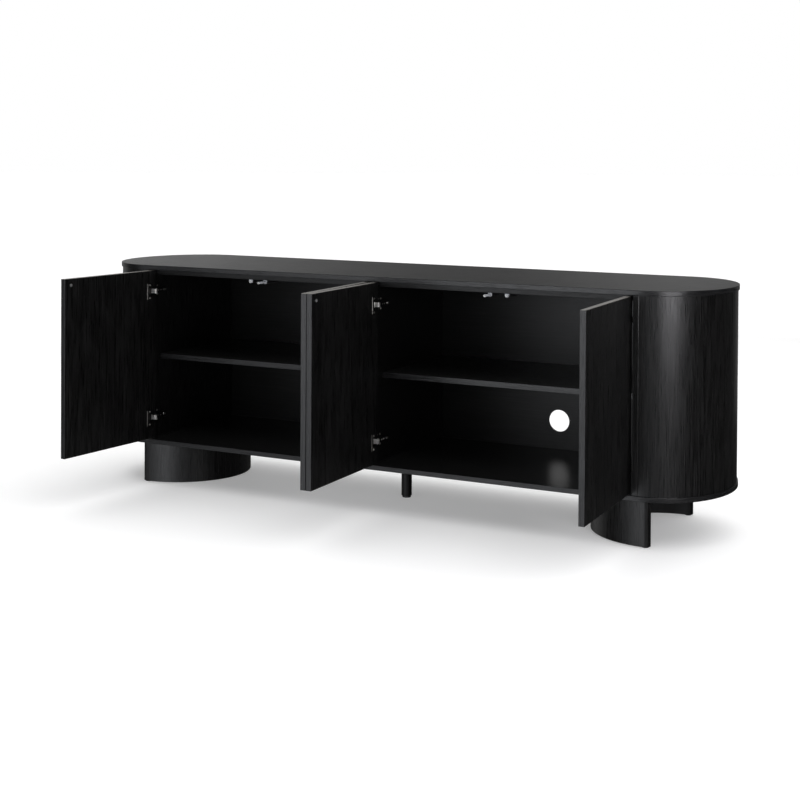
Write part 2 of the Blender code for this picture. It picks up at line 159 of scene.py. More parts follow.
def metal(name, colour, roughness=(0.22, 0.38)):
    """Plated steel with faint brushing and small stains."""
    m = Nodes(name)
    brushed = m.noise(m.place((1.0, 1.0, 12.0)), 600.0, 3.0, 0.6)
    stains = m.noise(m.place(), 90.0, 4.0, 0.6)
    dull = tuple(0.78 * value for value in colour)
    m.link(m.ramp(stains, [(0.35, dull), (0.65, colour)]), m.shader.inputs["Base Color"])
    m.link(m.span(brushed, *roughness), m.shader.inputs["Roughness"])
    m.shader.inputs["Metallic"].default_value = 1.0
    m.link(m.bump(brushed, 0.00004, 0.5), m.shader.inputs["Normal"])
    return m.material


def plastic(name, colour, roughness=(0.38, 0.55)):
    """Moulded plastic with a fine spark-eroded texture."""
    m = Nodes(name)
    texture = m.noise(m.place(), 1600.0, 3.0, 0.6)
    cloud = m.noise(m.place(), 60.0, 3.0, 0.5)
    pale = tuple(min(1.0, 1.25 * value) for value in colour)
    m.link(m.ramp(cloud, [(0.3, colour), (0.7, pale)]), m.shader.inputs["Base Color"])
    m.link(m.span(texture, *roughness), m.shader.inputs["Roughness"])
    m.link(m.bump(texture, 0.00005, 0.6), m.shader.inputs["Normal"])
    return m.material


# Dark and light tones of each stained veneer.
BLACK = ((0.0010, 0.0010, 0.0010), (0.0112, 0.0110, 0.0110))
# The darker copy of the black tones below is painted shade. It is used inside the bays, on the back panels, on the
# carcass top's edge under the top, and on the legs under the cabinet.
INNER_PAINTED_SHADE = ((0.0008, 0.0008, 0.0008), (0.0060, 0.0058, 0.0058))
LEVEL = ((0.008, 0.008, 0.008), (0.013, 0.013, 0.013))
EDGE = ((0.003, 0.003, 0.0033), (0.015, 0.015, 0.0157))
FINISHES = {
    "top_veneer": veneer("top_veneer", "x", (0.004, 0.004, 0.004), (0.040, 0.039, 0.040),
                         roughness=(0.27, 0.43)),
    "case_veneer": veneer("case_veneer", "z", *BLACK),
    "door_veneer": veneer("door_veneer", "z", *BLACK),
    "leg_veneer": veneer("leg_veneer", "z", *BLACK),
    "interior_veneer": veneer("interior_veneer", "x", *INNER_PAINTED_SHADE, roughness=(0.30, 0.40), relief=0.4),
    "nickel": metal("nickel", (0.86, 0.84, 0.80), (0.20, 0.36)),
    "steel": metal("steel", (0.95, 0.95, 0.93), (0.42, 0.58)),
    "grey_plastic": plastic("grey_plastic", (0.55, 0.57, 0.60)),
    "black_plastic": plastic("black_plastic", (0.012, 0.012, 0.013)),
}
BOTTOM_VENEER = veneer("bottom_veneer", "x", *LEVEL, roughness=(0.25, 0.27), relief=0.06)
SHELF_VENEER = veneer("shelf_veneer", "x", (0.012, 0.012, 0.012), (0.020, 0.020, 0.020),
                      roughness=(0.27, 0.29), relief=0.04)
# A darker, less glossy veneer: painted shade on the centre post under the cabinet and on the hollow sides of the
# legs.
POST_PAINTED_SHADE = veneer("post_black", "z", *INNER_PAINTED_SHADE, roughness=(0.34, 0.44), specular=0.3)
# Nickel darkened to near black: painted shade on the hinge cups, the flange ears, the links' feet, the arms' flat
# faces and rear, and the screw plates, which sit in the dark of the bays.
NICKEL_PAINTED_SHADE = metal("blackened_steel", (0.055, 0.054, 0.052), (0.35, 0.5))
SATIN_METAL = metal("satin_nickel", (0.90, 0.88, 0.84), (0.42, 0.55))
DULL_METAL = metal("dull_nickel", (0.30, 0.29, 0.27), (0.28, 0.42))
BACK_VENEER = veneer("back_veneer", "x", *INNER_PAINTED_SHADE, roughness=(0.30, 0.40), specular=0.28, relief=0.4)
SHADED_EDGE = veneer("shaded_edge", "x", *INNER_PAINTED_SHADE, roughness=(0.30, 0.45), specular=0.34)
EDGE_ROUND = veneer("edge_band_round", "x", *EDGE, source="UV")
EDGE_LONG = veneer("edge_band_long", "x", *EDGE)
EDGE_UPRIGHT = veneer("edge_band_upright", "z", *EDGE)
# The doors' top and bottom edge bands in a pale warm grey: the edge band is real, and its pale tone is a painted
# highlight from the light above.
DOOR_EDGE_PAINTED_HIGHLIGHT = veneer("door_top_edge", "x", (0.16, 0.155, 0.145), (0.26, 0.25, 0.235))


def paint_frame():
    """Every CAD node gets the finish of its slot."""
    for part in frame["record"]["subparts"]:
        item = NODES[part["node"]]
        item.data.materials.clear()
        item.data.materials.append(FINISHES[part["material_slot"]])


paint_frame()
for side in ("left", "right"):
    NODES["back_panel_" + side].data.materials[0] = BACK_VENEER


# ---------------------------------------------------------------- mesh helpers

def to_object(name, work, materials, smooth=35.0):
    """Turns a bmesh into an object with its finishes, shaded smooth up to an angle in degrees."""
    bmesh.ops.recalc_face_normals(work, faces=work.faces)
    mesh = bpy.data.meshes.new(name)
    work.to_mesh(mesh)
    work.free()
    for material in materials:
        mesh.materials.append(material)
    item = bpy.data.objects.new(name, mesh)
    bpy.context.scene.collection.objects.link(item)
    return even_normals(item, smooth)


def settle(item):
    """Applies an object's modifiers to its mesh."""
    bpy.context.view_layer.update()
    seen = item.evaluated_get(bpy.context.evaluated_depsgraph_get())
    settled = bpy.data.meshes.new_from_object(seen)
    item.modifiers.clear()
    item.data = settled
    return item


def even_normals(item, smooth=35.0):
    """Shades smooth up to an angle in degrees, with flat faces kept flat beside their roundings."""
    item.data.shade_smooth()
    item.data.set_sharp_from_angle(angle=radians(smooth))
    modifier = item.modifiers.new("even", "WEIGHTED_NORMAL")
    modifier.keep_sharp = True
    return settle(item)


def install(item, body, node):
    """Puts a finished piece on its body, in place of a CAD node."""
    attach(item, body)
    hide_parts(node)
    return item


def slot_of(node):
    """The material slot that the record gives a CAD node."""
    return next(p["material_slot"] for p in frame["record"]["subparts"] if p["node"] == node)


def rounded_box(work, low, high, radius=0.0008, segments=3, material=0):
    """Adds a board between two corners, its edges rounded."""
    made = bmesh.ops.create_cube(work, size=1.0)["verts"]
    low, high = Vector(low), Vector(high)
    size = high - low
    for vert in made:
        vert.co = low + Vector([(vert.co[i] + 0.5) * size[i] for i in range(3)])
    edges = list(dict.fromkeys(edge for vert in made for edge in vert.link_edges))
    result = bmesh.ops.bevel(work, geom=edges, offset=radius, segments=segments, affect="EDGES",
                             profile=0.5)
    for face in {face for vert in result["verts"] for face in vert.link_faces}:
        face.material_index = material


def board_between(work, near, far, radius, material=0):
    """Adds a rounded board between any two opposite corners."""
    low = [min(pair) for pair in zip(near, far)]
    high = [max(pair) for pair in zip(near, far)]
    rounded_box(work, low, high, radius, 2, material)


def lathe(work, profile, steps, matrix, material=0):
    """Adds a turned shape: (radius, height) points spun about Z, then placed."""
    rings = []
    for radius, height in profile:
        if radius == 0.0:
            ring = [work.verts.new((0.0, 0.0, height))]
        else:
            turns = [2 * pi * k / steps for k in range(steps)]
            ring = [work.verts.new((radius * cos(a), radius * sin(a), height)) for a in turns]
        for vert in ring:
            vert.co = matrix @ vert.co
        rings.append(ring)
    for lower, upper in zip(rings, rings[1:]):
        for k in range(steps):
            after = (k + 1) % steps
            corners = [lower[k % len(lower)], lower[after % len(lower)],
                       upper[after % len(upper)], upper[k % len(upper)]]
            work.faces.new(list(dict.fromkeys(corners))).material_index = material


def arc(centre, radius, first, last, steps):
    """(radius, height) points on a quarter-round or any other arc, angles in degrees."""
    turns = [radians(first + (last - first) * k / steps) for k in range(steps + 1)]
    return [(centre[0] + radius * cos(a), centre[1] + radius * sin(a)) for a in turns]


def sweep_outline(work, rings):
    """Skins equal-length rings of points, closes both ends and returns the faces."""
    made = [[work.verts.new(point) for point in ring] for ring in rings]
    count = len(made[0])
    faces = []
    for lower, upper in zip(made, made[1:]):
        for k in range(count):
            after = (k + 1) % count
            faces.append(work.faces.new((lower[k], lower[after], upper[after], upper[k])))
    faces.append(work.faces.new(made[0][::-1]))
    faces.append(work.faces.new(made[-1]))
    return faces


def offset_outline(points, inset):
    """A closed outline drawn in along its own normals; points run anticlockwise."""
    count = len(points)
    result = []
    for k in range(count):
        before, after = Vector(points[k - 1]), Vector(points[(k + 1) % count])
        along = (after - before).normalized()
        result.append((points[k][0] - along.y * inset, points[k][1] + along.x * inset))
    return result


def turned_area(points):
    """Twice an outline's area, negative where its points run clockwise."""
    closed = points + points[:1]
    return sum(a[0] * b[1] - b[0] * a[1] for a, b in zip(closed, closed[1:]))


def rounded_prism(work, outline, low, high, radius, segments=3):
    """Adds an upright prism on an anticlockwise outline, its two rims rounded."""
    rings = []
    for k in range(segments + 1):
        turn = pi / 2 * k / segments
        rings.append((radius * (1 - sin(turn)), low + radius * (1 - cos(turn))))
    rings += [(inset, high - (z - low)) for inset, z in rings[::-1]]
    points = [[(x, y, z) for x, y in offset_outline(outline, inset)] for inset, z in rings]
    return sweep_outline(work, points)


def put_mesh(target, mesh, matrix):
    """Adds a copy of a mesh to a bmesh, in its first finish."""
    before = set(target.faces)
    target.from_mesh(mesh)
    fresh = [face for face in target.faces if face not in before]
    verts = list(dict.fromkeys(vert for face in fresh for vert in face.verts))
    bmesh.ops.transform(target, matrix=matrix, verts=verts)
    for face in fresh:
        face.material_index = 0


def along_y(place):
    """Lays a +Z shape along +Y, its foot at a place."""
    return Matrix.Translation(place) @ Matrix.Rotation(-pi / 2, 4, "X")


# ---------------------------------------------------------------- slabs, ends and legs

SEAM_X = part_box("side_panel_right")[1].x
LEG_CENTRE_X = (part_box("glide_right_front")[0].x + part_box("glide_right_front")[1].x) / 2
ROUND_STEPS = 96            # facets round each curved end
LEG_STEPS, NOSE_STEPS = 72, 16
# How far the edges of each kind of piece are rounded.
SLAB_ARRIS, SHELL_ARRIS, LEG_ARRIS, POST_ARRIS = 0.0011, 0.0007, 0.0010, 0.0015
DOOR_ARRIS, PANEL_ARRIS, BOARD_ARRIS, CARCASS_TOP_ARRIS = 0.0009, 0.0004, 0.0007, 0.0012
SEAM_ARRIS = (0.0015, 0.0011)   # the side panel's, along X and along Y
SHELL_WALL = 0.012


def end_arc(reach, half_depth, outward=1, start_x=SEAM_X):
    """Points from front to back round one curved end."""
    turns = [-pi / 2 + pi * k / ROUND_STEPS for k in range(ROUND_STEPS + 1)]
    return [(outward * (start_x + reach * cos(a)), half_depth * sin(a)) for a in turns]


def make_slab(node):
    """A racetrack slab; the grain of its edge band follows the edge by a UV map."""
    low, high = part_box(node)
    right = end_arc(high.x - SEAM_X, high.y)
    left = end_arc(high.x - SEAM_X, high.y, outward=-1)[::-1]
    outline = right + left
    work = bmesh.new()
    faces = rounded_prism(work, outline, low.z, high.z, SLAB_ARRIS, segments=4)
    uv = work.loops.layers.uv.new("edge")
    work.verts.index_update()
    lengths = [0.0]
    closed = outline + outline[:1]
    for first, second in zip(closed, closed[1:]):
        lengths.append(lengths[-1] + hypot(second[0] - first[0], second[1] - first[1]))
    count = len(outline)
    for face in faces:
        if len(face.verts) == 4:
            face.material_index = 1
            columns = [loop.vert.index % count for loop in face.loops]
            wraps = max(columns) - min(columns) > 1
            for loop, column in zip(face.loops, columns):
                place = lengths[count] if wraps and column == 0 else lengths[column]
                loop[uv].uv = (place, loop.vert.co.z)
    material = FINISHES["top_veneer"] if node == "top_panel" else BOTTOM_VENEER
    item = to_object(node + "_veneered", work, [material, EDGE_ROUND])
    install(item, "cabinet", node)


def make_end_shell(node, outward):
    """A hollow curved end, its two upright outer edges rounded."""
    low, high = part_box(node)
    inner_x = min(abs(low.x), abs(high.x))
    reach = max(abs(low.x), abs(high.x)) - inner_x
    outer = end_arc(reach, high.y, start_x=inner_x)
    inner = end_arc(reach - SHELL_WALL, high.y - SHELL_WALL, start_x=inner_x)[::-1]
    front = [(inner_x + SHELL_ARRIS * (1 - cos(a)), outer[0][1] + SHELL_ARRIS * (1 - sin(a)))
             for a in (radians(t) for t in (0, 30, 60))]
    back = [(x, -y) for x, y in front[::-1]]
    outline = front + outer[1:-1] + back + inner
    if outward < 0:
        outline = [(-x, y) for x, y in outline[::-1]]
    work = bmesh.new()
    rings = [[(x, y, z) for x, y in outline] for z in (low.z, high.z)]
    sweep_outline(work, rings)
    install(to_object(node + "_veneered", work, [FINISHES["case_veneer"]]), "cabinet", node)


def make_c_leg(node, outward):
    """A half-round leg with rounded noses; its hollow side is darker and duller, painted shade."""
    low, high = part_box(node)
    radius = (high.y - low.y) / 2
    far = max(abs(low.x), abs(high.x))
    wall = 2 * (far - LEG_CENTRE_X)
    middle = radius - wall / 2
    turns = [pi / 2 + pi * k / LEG_STEPS for k in range(LEG_STEPS + 1)]
    nose = [pi * k / NOSE_STEPS for k in range(1, NOSE_STEPS)]
    outline = [(radius * cos(a), radius * sin(a)) for a in turns]
    outline += [(wall / 2 * sin(a), -middle - wall / 2 * cos(a)) for a in nose]
    outline += [((radius - wall) * cos(a), (radius - wall) * sin(a)) for a in reversed(turns)]
    outline += [(wall / 2 * sin(a), middle - wall / 2 * cos(a)) for a in nose]
    outline = [(outward * (LEG_CENTRE_X + x), y) for x, y in outline]
    if outward < 0:
        outline = outline[::-1]
    work = bmesh.new()
    rounded_prism(work, outline, low.z, high.z, LEG_ARRIS)
    # The faces on the hollow side take the darker, duller veneer: painted shade.
    hub = outward * LEG_CENTRE_X
    for face in work.faces:
        spot = face.calc_center_median()
        if hypot(spot.x - hub, spot.y) < middle - wall / 4:
            face.material_index = 1
    materials = [FINISHES["leg_veneer"], POST_PAINTED_SHADE]
    install(to_object(node + "_veneered", work, materials), "cabinet", node)


def make_centre_leg():
    """A round post with a soft lower rim."""
    low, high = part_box("leg_centre")
    radius, height = high.x, high.z - low.z
    profile = [(0.0, 0.0)] + arc((radius - POST_ARRIS, POST_ARRIS), POST_ARRIS, -90, 0, 4)
    profile += [(radius, height), (0.0, height)]
    work = bmesh.new()
    lathe(work, profile, 64, Matrix.Translation((0.0, 0.0, low.z)))
    install(to_object("leg_centre_turned", work, [POST_PAINTED_SHADE]), "cabinet", "leg_centre")


# ---------------------------------------------------------------- doors

PIVOT = (0.0100, 0.0052)    # hinge axis, from the closed door's hinge edge and outer face
CUP_U = 0.0220              # cup centre, from the hinge edge
CUP_BORE = (0.0178, 0.0128)     # radius and depth of the bore in the door


def hinge_matrix(door):
    """Moves a closed door's pieces to the rest pose."""
    joint = JOINTS[door + "_hinge"]
    angle = radians(-joint["range_deg"][0])
    place = Matrix.Translation(joint["pos_m"])
    return place @ Matrix.Rotation(angle, 4, Vector(joint["axis"])) @ place.inverted()


def closed_box(node, door):
    """The box of a door's CAD node with that door closed."""
    close = hinge_matrix(door).inverted()
    points = [close @ vert.co for vert in NODES[node].data.vertices]
    low = Vector([min(p[i] for p in points) for i in range(3)])
    high = Vector([max(p[i] for p in points) for i in range(3)])
    return low, high


class Door:
    """Where a door hangs: its closed box and the way it extends from its hinge edge."""

    def __init__(self, number):
        self.name = "door_" + number
        self.number = number
        self.low, self.high = closed_box(self.name, self.name)
        axis_x = JOINTS[self.name + "_hinge"]["pos_m"][0]
        self.way = 1 if axis_x - self.low.x < self.high.x - axis_x else -1
        self.edge_x = self.low.x if self.way > 0 else self.high.x
        self.front = self.low.y
        self.thick = self.high.y - self.low.y
        self.open = hinge_matrix(self.name)

    def at(self, u, v, z):
        """World point of the closed door: u from the hinge edge, v from the outer face."""
        return Vector((self.edge_x + self.way * u, self.front + v, z))


DOORS = [Door(number) for number in "1234"]


def cut(item, tools):
    """Cuts closed tools out of a piece."""
    for tool in tools:
        modifier = item.modifiers.new("cut", "BOOLEAN")
        modifier.operation = "DIFFERENCE"
        modifier.solver = "EXACT"
        modifier.object = tool
    settle(item)
    for tool in tools:
        bpy.data.objects.remove(tool, do_unlink=True)
    return even_normals(item)


def make_door(door):
    """A leaf with its edge bands, bored for its two hinge cups."""
    work = bmesh.new()
    rounded_box(work, door.low, door.high, DOOR_ARRIS)
    # The top and bottom edges take the pale band, a painted highlight; the upright edges take the edge band.
    for face in work.faces:
        normal = face.normal
        if abs(normal.z) > 0.4:
            face.material_index = 2
        elif abs(normal.x) > 0.4:
            face.material_index = 1
    materials = [FINISHES["door_veneer"], EDGE_UPRIGHT, DOOR_EDGE_PAINTED_HIGHLIGHT]
    leaf = to_object(door.name + "_leaf", work, materials)
    tools = []
    for place in ("upper", "lower"):
        low, high = closed_box(f"hinge_cup_{door.number}_{place}", door.name)
        bore = bmesh.new()
        radius, depth = CUP_BORE
        profile = [(0.0, 0.0), (radius, 0.0), (radius, 0.03), (0.0, 0.03)]
        lathe(bore, profile, 48, along_y(door.at(CUP_U, door.thick - depth, (low.z + high.z) / 2)))
        tools.append(to_object("bore", bore, [FINISHES["door_veneer"]]))
    cut(leaf, tools)
    leaf.matrix_world = door.open
    install(leaf, door.name, door.name)


# ---------------------------------------------------------------- boards

def make_side_panel(side):
    """An end panel with a sanded arris where the curved end shell meets its front."""
    node = "side_panel_" + side
    low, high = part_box(node)
    inner, outer = sorted((low.x, high.x), key=abs)
    arris_x, arris_y = SEAM_ARRIS
    outline = [(inner, low.y), (outer - (arris_x if outer > inner else -arris_x), low.y),
               (outer, low.y + arris_y), (outer, high.y), (inner, high.y)]
    if turned_area(outline) < 0:
        outline = outline[::-1]
    work = bmesh.new()
    rounded_prism(work, outline, low.z, high.z, PANEL_ARRIS, 1)
    slot = slot_of(node)
    install(to_object(node + "_board", work, [FINISHES[slot]]), "cabinet", node)


def make_board(node, radius=BOARD_ARRIS, material=None, front=None):
    """A board with softened edges; its front edge may have a finish of its own."""
    low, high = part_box(node)
    work = bmesh.new()
    rounded_box(work, low, high, radius, 2)
    if front:
        for face in work.faces:
            if face.normal.y < -0.6 and face.calc_center_median().y < low.y + radius:
                face.material_index = 1
    slot = slot_of(node)
    materials = [material or FINISHES[slot]] + ([front] if front else [])
    install(to_object(node + "_board", work, materials), "cabinet", node)


# ---------------------------------------------------------------- screws

def screw_head(radius, height):
    """A domed head with a cross recess, standing on z = 0."""
    work = bmesh.new()
    rim = 0.35 * height
    half_long, half_wide = 0.62 * radius, 0.13 * radius
    dome = [(radius * cos(a), rim + (height - rim) * sin(a))
            for a in (radians(t) for t in (0, 20, 40, 60, 78))]
    lathe(work, [(0.0, 0.0), (radius, 0.0)] + dome + [(0.0, height)], 24, Matrix())
    head = to_object("screw_head", work, [FINISHES["nickel"]])
    tools = []
    for turn in (0.25 * pi, 0.75 * pi):
        bar = bmesh.new()
        rounded_box(bar, (-half_long, -half_wide, rim), (half_long, half_wide, 2.0 * height),
                    0.0001, 1)
        bmesh.ops.rotate(bar, matrix=Matrix.Rotation(turn, 3, "Z"), verts=bar.verts)
        tools.append(to_object("recess", bar, [FINISHES["nickel"]]))
    mesh = cut(head, tools).data
    bpy.data.objects.remove(head, do_unlink=True)
    return mesh


CUP_SCREW = screw_head(0.0037, 0.0022)
PLATE_SCREW = screw_head(0.0041, 0.0020)
SMALL_SCREW = screw_head(0.0028, 0.0012)


# ---------------------------------------------------------------- hinges

FLANGE_U = (0.0255, 0.0455)     # the flange's extent from the hinge edge
FLANGE_THICK = 0.0012
FLANGE_REACH = (0.0170, 0.0285)     # each ear's extent above and below the cup's centre
RIM_HALF = 0.0282           # half length of the flange's rolled rim
CUP_SCREW_PLACE = (0.0315, 0.0225)      # from the hinge edge, and above or below the centre
LINK_ANGLE = radians(100.0)     # of the link, from the closed door's u axis
LINK_HALF_THICK = 0.0012
LINK_HALF_HIGH = 0.0080
LINK_REACH = 0.0200
PIN_LENGTH = 0.0168
HOOD_RADII = (0.0206, 0.0232)   # inside and outside, round the pivot
HOOD_START, HOOD_SWEEP, HOOD_STEPS = 7.0, 67.0, 16      # degrees, degrees, facets
ARM_HALF_HIGH = 0.0083
PLATE_V = (0.0330, 0.0600)      # the screw plate's extent behind the door's outer face
PLATE_THICK = 0.0022
PLATE_HALF_HIGH = 0.0215
PLATE_SCREW_OFFSET = 0.0158
LEVER_V = (0.0760, 0.0900)      # the rear lever's extent
LEVER_HALF_HIGH = 0.0036


def pressed(work, door, outline, z, half, radius):
    """An upright prism on a (u, v) outline beside a door, centred on z, its rims softened."""
    points = [tuple(door.at(u, v, 0.0))[:2] for u, v in outline]
    if turned_area(points) < 0:
        points = points[::-1]
    rounded_prism(work, points, z - half, z + half, radius, 2)


def rod(work, foot, length, end, steps, material=0):
    """An upright rod; end is the (radius, height) profile of each of its ends."""
    profile = [(0.0, 0.0)] + end + [(r, length - h) for r, h in end[::-1]] + [(0.0, length)]
    lathe(work, profile, steps, Matrix.Translation(foot), material)


def sideways(door, u, v, z):
    """Lays a +Z shape along the closed door's u axis."""
    return Matrix.Translation(door.at(u, v, z)) @ Matrix.Rotation(door.way * pi / 2, 4, "Y")


def make_cup(door, place):
    """Cup, screw flange with its rolled rim, link and screws, on the door."""
    node = f"hinge_cup_{door.number}_{place}"
    low, high = closed_box(node, door.name)
    z = (low.z + high.z) / 2
    seat = door.thick + 0.0003
    top = seat + FLANGE_THICK
    floor = door.thick - 0.0125
    work = bmesh.new()
    profile = [(0.0, floor), (0.0165, floor), (0.0175, floor + 0.001), (0.0175, seat),
               (0.0190, seat), (0.0190, seat + 0.0003), (0.0186, seat + 0.0006),
               (0.0170, seat + 0.0006), (0.0165, seat + 0.0002), (0.0165, floor + 0.0020),
               (0.0155, floor + 0.0010), (0.0, floor + 0.0010)]
    lathe(work, profile, 48, along_y(door.at(CUP_U, 0.0, z)), material=1)
    screw_u, screw_offset = CUP_SCREW_PLACE
    for end in (-1, 1):
        near = door.at(FLANGE_U[0], seat, z + end * FLANGE_REACH[0])
        far = door.at(FLANGE_U[1], top, z + end * FLANGE_REACH[1])
        board_between(work, near, far, 0.0005, 1)
        spot = door.at(screw_u, seat + 0.0011, z + end * screw_offset)
        put_mesh(work, CUP_SCREW, along_y(spot))
    near, far = door.at(0.0398, seat, z - 0.0280), door.at(FLANGE_U[1], top, z + 0.0280)
    board_between(work, near, far, 0.0004, 2)
    rim_end = arc((0.0004, 0.0012), 0.0012, 270, 360, 3)[1:]
    rod(work, door.at(0.0430, seat + 0.0004, z - RIM_HALF), 2 * RIM_HALF, rim_end, 20, 2)
    along = Vector((cos(LINK_ANGLE), sin(LINK_ANGLE)))
    across = Vector((-along.y, along.x)) * LINK_HALF_THICK
    pivot = Vector(PIVOT)
    foot = pivot + along * ((floor + 0.0006 - PIVOT[1]) / sin(LINK_ANGLE))
    tip = pivot + along * LINK_REACH
    waist = foot + along * 0.0025
    for first, second, finish in ((foot, waist, 1), (waist, tip, 3)):
        corners = [first - across, first + across, second + across, second - across]
        known = set(work.faces)
        pressed(work, door, [tuple(corner) for corner in corners], z, LINK_HALF_HIGH, 0.0005)
        for side in set(work.faces) - known:
            side.material_index = finish
    pin_end = arc((0.0014, 0.0004), 0.0004, 270, 360, 2)
    for centre in (foot + along * 0.0030, tip - along * 0.0020):
        rod(work, door.at(centre.x, centre.y, z - PIN_LENGTH / 2), PIN_LENGTH, pin_end, 16)
    materials = [FINISHES["nickel"], NICKEL_PAINTED_SHADE, DULL_METAL, SATIN_METAL]
    item = to_object(node + "_pressed", work, materials)
    item.matrix_world = door.open
    install(item, door.name, node)


def make_arm(door, place):
    """The arm on the carcass: hood, cranked channel, screw plate, cam and rear lever."""
    node = f"hinge_arm_{door.number}_{place}"
    low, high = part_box(node)
    z = (low.z + high.z) / 2
    panel = (low.x - door.edge_x) if door.way > 0 else (door.edge_x - high.x)
    base = panel + 0.0011
    end_v = high.y - door.front
    work = bmesh.new()
    sweep = [radians(HOOD_START + HOOD_SWEEP * k / HOOD_STEPS) for k in range(HOOD_STEPS + 1)]
    inner, outer = [[(PIVOT[0] + radius * cos(a), PIVOT[1] + radius * sin(a)) for a in sweep]
                    for radius in HOOD_RADII]
    last = outer[-1][1]
    heel = [(base + 0.004, last + 0.002), (base, last + 0.012), (base, end_v)]
    spine = [(base + 0.0100, end_v), (base + 0.0126, end_v - 0.003), (base + 0.0132, last + 0.020),
             (base + 0.0140, last + 0.010)]
    pressed(work, door, inner + heel + spine + outer[::-1], z, ARM_HALF_HIGH, 0.0009)
    # The arm's flat faces and its rear take the darkened nickel, painted shade; so does the screw plate below.
    for side in work.faces:
        if len(side.verts) > 4 or side.calc_center_median().y - door.front > last + 0.001:
            side.material_index = 1
    near = door.at(panel, PLATE_V[0], z - PLATE_HALF_HIGH)
    far = door.at(panel + PLATE_THICK, PLATE_V[1], z + PLATE_HALF_HIGH)
    board_between(work, near, far, 0.0006, 1)
    for end in (-1, 1):
        for v, mesh in ((0.0550, PLATE_SCREW), (0.0375, SMALL_SCREW)):
            put_mesh(work, mesh, sideways(door, panel + 0.0021, v, z + end * PLATE_SCREW_OFFSET))
    for v, height, mesh in ((0.0460, 0.0131, SMALL_SCREW), (0.0600, 0.0127, SMALL_SCREW)):
        put_mesh(work, mesh, sideways(door, base + height, v, z))
    near = door.at(base + 0.0100, LEVER_V[0], z - LEVER_HALF_HIGH)
    far = door.at(base + 0.0150, LEVER_V[1], z + LEVER_HALF_HIGH)
    board_between(work, near, far, 0.0012)
    materials = [FINISHES["nickel"], NICKEL_PAINTED_SHADE]
    install(to_object(node + "_pressed", work, materials), "cabinet", node)


# ---------------------------------------------------------------- latches and strikes

# Behind the grey front end the housing is black: painted shade under the top.
CAP_LENGTH = 0.006          # of the housing's grey front end
TAB_LENGTH = 0.010
LATCH_BORE = (0.0047, 0.066)    # radius and depth
TIP_LENGTH = 0.0037         # of the plunger's bright tip
TIP_BORE_RADIUS = 0.0018


def make_latch(number):
    """A D-shaped housing, bored for its plunger, with a screw tab behind."""
    node = "latch_" + number
    low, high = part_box(node)
    x, half = (low.x + high.x) / 2, (high.x - low.x) / 2
    bore_z, end = low.z + half, high.y - TAB_LENGTH
    section = [(half * cos(a), half * sin(a)) for a in (pi + pi * k / 24 for k in range(25))]
    section += [(half, high.z - bore_z), (-half, high.z - bore_z)]
    work = bmesh.new()
    rings = []
    for inset, y in ((0.0010, low.y), (0.0003, low.y + 0.0003), (0.0, low.y + 0.0010),
                     (0.0, low.y + CAP_LENGTH), (0.0, end)):
        rings.append([(x + dx, y, bore_z + dz) for dx, dz in offset_outline(section, inset)])
    sweep_outline(work, rings)
    body = to_object(node + "_housing", work, [FINISHES["grey_plastic"]])
    tool = bmesh.new()
    radius, depth = LATCH_BORE
    profile = [(0.0, -0.001), (0.0053, -0.001), (radius, 0.0006), (radius, depth), (0.0, depth)]
    lathe(tool, profile, 32, along_y((x, low.y, bore_z)))
    cut(body, [to_object("bore", tool, [FINISHES["grey_plastic"]])])
    rest = bmesh.new()
    rest.from_mesh(body.data)
    rounded_box(rest, (x - half, end - 0.001, high.z - 0.003), (x + half, high.y, high.z),
                0.0008, 2)
    spot = Matrix.Translation((x, end + 0.0045, high.z - 0.0029))
    put_mesh(rest, SMALL_SCREW, spot @ Matrix.Rotation(pi, 4, "X"))
    bpy.data.objects.remove(body, do_unlink=True)
    # Faces behind the grey front end take black plastic: painted shade on the housing's rear.
    for face in rest.faces:
        if face.calc_center_median().y > low.y + CAP_LENGTH and face.calc_area() > 1e-6:
            face.material_index = 1
    materials = [FINISHES["grey_plastic"], FINISHES["black_plastic"]]
    install(to_object(node + "_housing", rest, materials), "cabinet", node)


def make_plunger(number):
    """A turned rod with a bright, hollow tip."""
    node = "plunger_" + number
    low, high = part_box(node)
    radius, long = (high.x - low.x) / 2, high.y - low.y
    profile = [(0.0, 0.0040), (0.0017, 0.0040), (0.0017, 0.0004), (0.0021, 0.0)]
    profile += arc((radius - 0.0009, 0.0009), 0.0009, -90, 0, 4)
    profile += [(radius, 0.0036)] + arc((radius - 0.0006, 0.0040), 0.0006, 0, 90, 3)
    profile += [(radius - 0.0006, long - 0.0006), (radius - 0.0012, long), (0.0, long)]
    work = bmesh.new()
    centre = ((low.x + high.x) / 2, low.y, (low.z + high.z) / 2)
    lathe(work, profile, 32, along_y(centre))
    # The tip is steel; the faces inside its hollow take black plastic, painted shade in the hole.
    for face in work.faces:
        spot = face.calc_center_median()
        if spot.y < low.y + TIP_LENGTH:
            inside = hypot(spot.x - centre[0], spot.z - centre[2]) < TIP_BORE_RADIUS
            face.material_index = 2 if inside else 1
    materials = [FINISHES["grey_plastic"], FINISHES["steel"], FINISHES["black_plastic"]]
    install(to_object(node + "_turned", work, materials), node, node)


